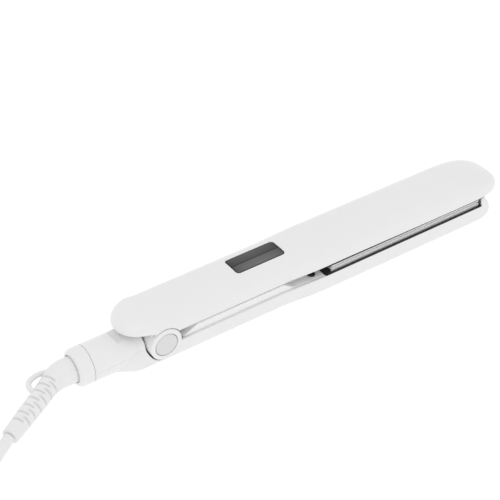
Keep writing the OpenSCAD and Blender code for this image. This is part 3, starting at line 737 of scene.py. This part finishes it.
def tail_section(x, t, drop, r=0.0):
    """The tail cover's arch at x, inset by t, with a foot that reaches below the rim by drop."""
    w, rim = rim_half(x) - t, lower_rim(x)
    h = 2 * TAIL_Z - t - rim
    arc = [(x, -w * math.cos(a), min(rim + h * math.sin(a), scoop(x, w * math.cos(a)) - t))
           for a in sweep(96, 0.0)]
    arc[0], arc[-1] = (x, -w, rim + r), (x, w, rim + r)
    foot = [(x, w - r + r * math.cos(a), rim - drop + r - r * math.sin(a)) for a in quarter(4, 1)]
    if not r:
        foot = foot[:1]
    return arc + foot + [(a, -b, c) for a, b, c in foot[::-1]]


xs = span(-38.7, -26, 2) + span(-26, -20, 0.2) + span(-20, -10, 0.5) + [-10]
cover = loft("tail_top_cover", [tail_section(x, 0, 0, 0.25) for x in xs])
hollow = loft("tool", [tail_section(x, WALL, 2) for x in [-40] + [x for x in xs if x < -11.4] + [-11.4]])
cut(cover, hollow, *ear_cuts(9.8, -0.4), spin("tool", [(-8, 8.8), (8, 8.8)], "Y", (0, 0, HINGE_Z), 96),
    box_cut(-45, -25, -2.7, 2.7, 17.9, 19.85, 0.2), box_cut(-14, -5, -5, 5, 9, 14, 0.2))
finish(cover, "lower_arm", "white_gloss", ("tail_cover",))

collar_profile = ([(-38.85, 8.75), (-38.85, 10.12), (-39.03, 10.3)]
                  + [(a, r) for r, a in fillet(7.9, -44.3, 2.4, 0, -90, 10)]
                  + [(-46.7, 7.75), (-46.6, 7.6), (-44.5, 7.6), (-44.5, 8.75)])
finish(lathe("lock_ring", collar_profile, "X", (0, 0, TAIL_Z), 128), "lock", "white_gloss", ("lock_collar",))


def inner_cover_ring(x):
    """Section of the lower inner cover, which ramps up from the hinge and down to the plate's frame."""
    w = lower_half(x) - 1.55
    z = float(np.interp(x, (11, 21, 75.5, 82, 102), (12.6, 16.8, 16.8, 12.8, 12.8)))
    draft = 0.1 * max(0.0, z - 12.8)
    arc = [(w, 10.0), (w, 12.6)] + [(y + 0.2, h) for y, h in fillet(w - 0.9 - draft, z - 0.7, 0.7, 0, 90, 6)]
    return [(x, y, h) for y, h in arc] + [(x, -y, h) for y, h in arc[::-1]]


inner = loft("lower_inner_trim", [inner_cover_ring(x) for x in span(11.3, 22, 1) + span(22, 70, 6)
                                  + span(70, 83, 0.75) + span(83, 101.4, 2) + [101.4]])
cut(inner, *[spin("tool", [(12, 2.4), (18, 2.4)], "Z", (95.8, y, 0), 40) for y in (-10, 10)])
finish(inner, "lower_arm", "white_satin", ("lower_inner_cover",))


# ---------------------------------------------------------------- frames beside the plates

def frame_outline(half, plan, nose_in, tip, base, last, behind=0.0):
    """Outline of a frame from its rear end to x = last; with behind, it goes on to the nose, set back."""
    def edge(xs, g):
        return [(x, (half(x) - g) * plan(x, g)) for x in xs]

    def outline(inset):
        xs = [FRAME_X + 0.5 * inset] + span(103.5, nose_in, 4)
        xs += [mix(nose_in, last, i / 8) for i in range(9)]
        side = edge(xs, base + inset)
        if not behind:
            return both_sides(side)
        g = base + behind + inset
        side += edge([last + (tip - g - last) * math.sin(a) for a in quarter(16, 0, 16)], g)
        return both_sides(side, [(tip - g, 0)])
    return outline


# Half width, plan and nose of each arm
UPPER = (upper_half, upper_plan, UPPER_NOSE_IN, UPPER_NOSE)
LOWER = (lower_half, lower_plan, LOWER_NOSE_IN, LOWER_NOSE)
lower_frame = slab("lower_plate_frame", frame_outline(*LOWER, 0.1, FRAME_END),
                   [(1.55, 10.2), (1.55, 12.8), (0, 12.8), (0, 12.95), (0.1, 13.05)])
end_wall = slab("tool", rounded_box(212, FRAME_END, -14.9, 14.9, 0.15), [(0, 12.9), (0, 18.3)])
cut(lower_frame, end_wall, op="UNION")
cut(lower_frame, box_cut(*PLATE_HOLE, 0, 20))
finish(lower_frame, "lower_arm", "black_plastic", ("lower_bezel",))
upper_frame = slab("upper_plate_frame", frame_outline(*UPPER, 0.2, 215.2, 1.3),
                   [(0.2, 18.6), (0, 18.65), (0, 18.9), (2.2, 18.9), (2.2, 21.5)])
rail = slab("tool", frame_outline(*UPPER, 0.21, FRAME_END), [(0.2, 18.4), (0, 18.5), (0, 18.8)])
cut(upper_frame, rail, op="UNION")
cut(upper_frame, box_cut(*PLATE_HOLE, 0, 40))
finish(upper_frame, "upper_arm", "black_plastic", ("upper_bezel",))


# ---------------------------------------------------------------- plate springs

def plate_springs(name, node, z_arm, z_plate):
    """Eight coil springs between an arm and its floating plate."""
    wire = 0.3
    low, high = min(z_arm, z_plate) + wire, max(z_arm, z_plate) - wire
    steps = 4 * 14
    coils = []
    for x in (116, 144.5, 173, 201.5):
        for y in (-9.6, 9.6):
            path = [(x + 1.5 * c, y + 1.5 * s, mix(low, high, i / steps))
                    for i, (c, s) in enumerate(circle(14) * 4 + circle(14)[:1])]
            coils.append(tube("coil", path, wire, 8))
    springs = finish(join(name, coils), None, "steel", (node,))
    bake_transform(springs)


plate_springs("lower_springs", "lower_plate_springs", 4.65, 13.55)
plate_springs("upper_springs", "upper_plate_springs", 25.55, 16.65)

# ---------------------------------------------------------------- strain relief and loop

# Centre line and radius of the boot
relief_path = [(-46.7, 0, TAIL_Z, 7.1), (-51.5, 0, TAIL_Z, 7.1), (-55, -0.5, 10.2, 6.7),
               (-58.5, -1.8, 10, 6.1), (-62, -3.6, 9.8, 5.5), (-66, -6.1, 9.7, 5.2), (-70, -8.7, 9.6, 5.1),
               (-75, -11.6, 9.3, 5.05), (-80, -14.5, 9, 4.95), (-85, -17.4, 8.6, 4.75),
               (-90, -20.3, 8.2, 4.55), (-94, -22.6, 7.9, 4.4)]
PITCH, SLOT_DEPTH, SLOT_TURN = 5.0, 1.3, 15.0


def near(v, half, soft):
    """1 within half of zero and 0 beyond it, with a soft edge."""
    return ease(half - abs(v), -soft, soft)


def end_round(r, i):
    """How much a rounded edge of radius r takes off the radius i rings from the end."""
    return r * (1 - math.sin(math.acos(1 - i / 4))) if i < 4 else 0.0


def relief():
    """Tapered boot with two families of slots, a quarter turn and half a pitch apart."""
    pts = smooth_path(relief_path, 0.22)
    p, fr = frames([q[:3] for q in pts])
    s, rings = 0.0, []
    for i, (_, side, up) in enumerate(fr):
        if i:
            s += float(np.linalg.norm(p[i] - p[i - 1]))
        radius = float(pts[i][3]) - end_round(0.35, i) - end_round(0.5, len(fr) - 1 - i)
        ring = []
        for k, (c, v) in enumerate(circle(72)):
            deep = 0.0
            for first, turn in ((17.5, SLOT_TURN), (17.5 - PITCH / 2, SLOT_TURN + 90)):
                if first - 1 < s < 46.5:
                    along = (s - first + PITCH / 2) % PITCH - PITCH / 2
                    off = (5 * k - turn + 90) % 180 - 90
                    deep = max(deep, near(along, 0.5, 0.16) * near(off, 54, 6))
            ring.append(tuple(p[i] + (radius - SLOT_DEPTH * deep) * (c * side + v * up)))
        rings.append(ring)
    return loft("cord_boot", rings)


boot = finish(relief(), "cord_swivel", "soft_white", ("strain_relief",), sharp=50)
loop_points = [(-56.5, 4, 10.8), (-60.2, 4.6, 11.6), (-64.4, 4.2, 12.2), (-68.6, 2.8, 12.4),
               (-71.2, 0.2, 12.3), (-71.6, -3.2, 11.8), (-70.2, -5.8, 11)]
loop = finish(tube("boot_loop", smooth_path(loop_points, 0.6), 1.45, 24), "cord_swivel", "soft_white",
              ("hang_loop",))

# ---------------------------------------------------------------- tie and plug

outside, within = [], []
for x, inset in ((-195, 0.25), (-194.75, 0.0), (-179.25, 0.0), (-179, 0.25)):
    strap = rounded_box(-48.85 + inset, 8.85 - inset, inset * 0.5, 19.6 - inset, 3.0, 6)(0)
    outside.append([(x, y, z) for y, z in strap])
    within.append([(x, y, z) for y, z in rounded_box(-48.05, 8.05, 0.8, 18.8, 2.2, 6)(0)])
tie = finish(loft("hank_strap", outside + within[::-1], wrap=True), "lower_arm", "tie_grey", ("cord_tie",))

# Plug: (x, half width, half height)
stations = [(-214.0, 4.9, 5.0), (-214.4, 5.4, 5.4), (-217, 6.0, 5.8), (-221, 7.4, 6.2), (-226, 9.8, 6.5),
            (-231, 12.0, 6.65), (-236, 12.9, 6.7), (-243, 13, 6.7), (-248.6, 13, 6.7), (-249.5, 12.8, 6.55),
            (-250, 12.2, 6.1)]
plug_rings = [[(x, PLUG_Y + a * spow(c, 0.6), PLUG_Z + b * spow(s, 0.6)) for c, s in circle(72)]
              for x, a, b in smooth_path(stations, 1.0)]
sleeve = [(-213.5, 4.6)]
for i in range(5):
    x, r = -212.4 + i * 3.6, 4.5 - 0.18 * i
    sleeve += [(x, r), (x + 0.3, r - 0.55), (x + 1.3, r - 0.55), (x + 1.6, r - 0.05)]
sleeve += [(-194.4, 3.7), (-194, 3.45)]
plug = join("mains_plug", [loft("plug_shell", plug_rings),
                           spin("sleeve", sleeve, "X", (0, PLUG_Y, PLUG_Z), 48)])
finish(plug, "lower_arm", "plug_white", ("plug_body",), sharp=40)

# ---------------------------------------------------------------- floor and light

floor_mesh = bpy.data.meshes.new("floor")
floor_mesh.from_pydata([(-6, -6, 0), (6, -6, 0), (6, 6, 0), (-6, 6, 0)], [], [(0, 1, 2, 3)])
floor = add_object("floor", floor_mesh)
paper, _, bsdf = nodes_of("paper")
bsdf.inputs["Base Color"].default_value = (0.3, 0.3, 0.3, 1)
bsdf.inputs["Roughness"].default_value = 1.0
bsdf.inputs["Specular IOR Level"].default_value = 0.0
bsdf.inputs["Emission Color"].default_value = (1, 1, 1, 1)
bsdf.inputs["Emission Strength"].default_value = 0.78
floor_mesh.materials.append(paper)

data = bpy.data.lights.new("key", "AREA")
data.shape, data.size, data.energy = "SQUARE", 1.0, 2.2
lamp = add_object("key", data)
lamp.location = (-0.7, -0.5, 1.4)
lamp.rotation_euler = (-lamp.location).to_track_quat("-Z", "Y").to_euler()

world = bpy.data.worlds.new("studio")
bpy.context.scene.world = world
world.use_nodes = True
tree = world.node_tree
back = tree.nodes["Background"]
coord = tree.nodes.new("ShaderNodeTexCoord")
parts = tree.nodes.new("ShaderNodeSeparateXYZ")
tree.links.new(coord.outputs["Generated"], parts.inputs["Vector"])
tree.links.new(grey_ramp(tree, parts.outputs["Z"], [(0.0, 0.97), (0.8, 1.0)]), back.inputs["Color"])
back.inputs["Strength"].default_value = 0.93
bpy.context.scene.view_settings.view_transform = "Standard"
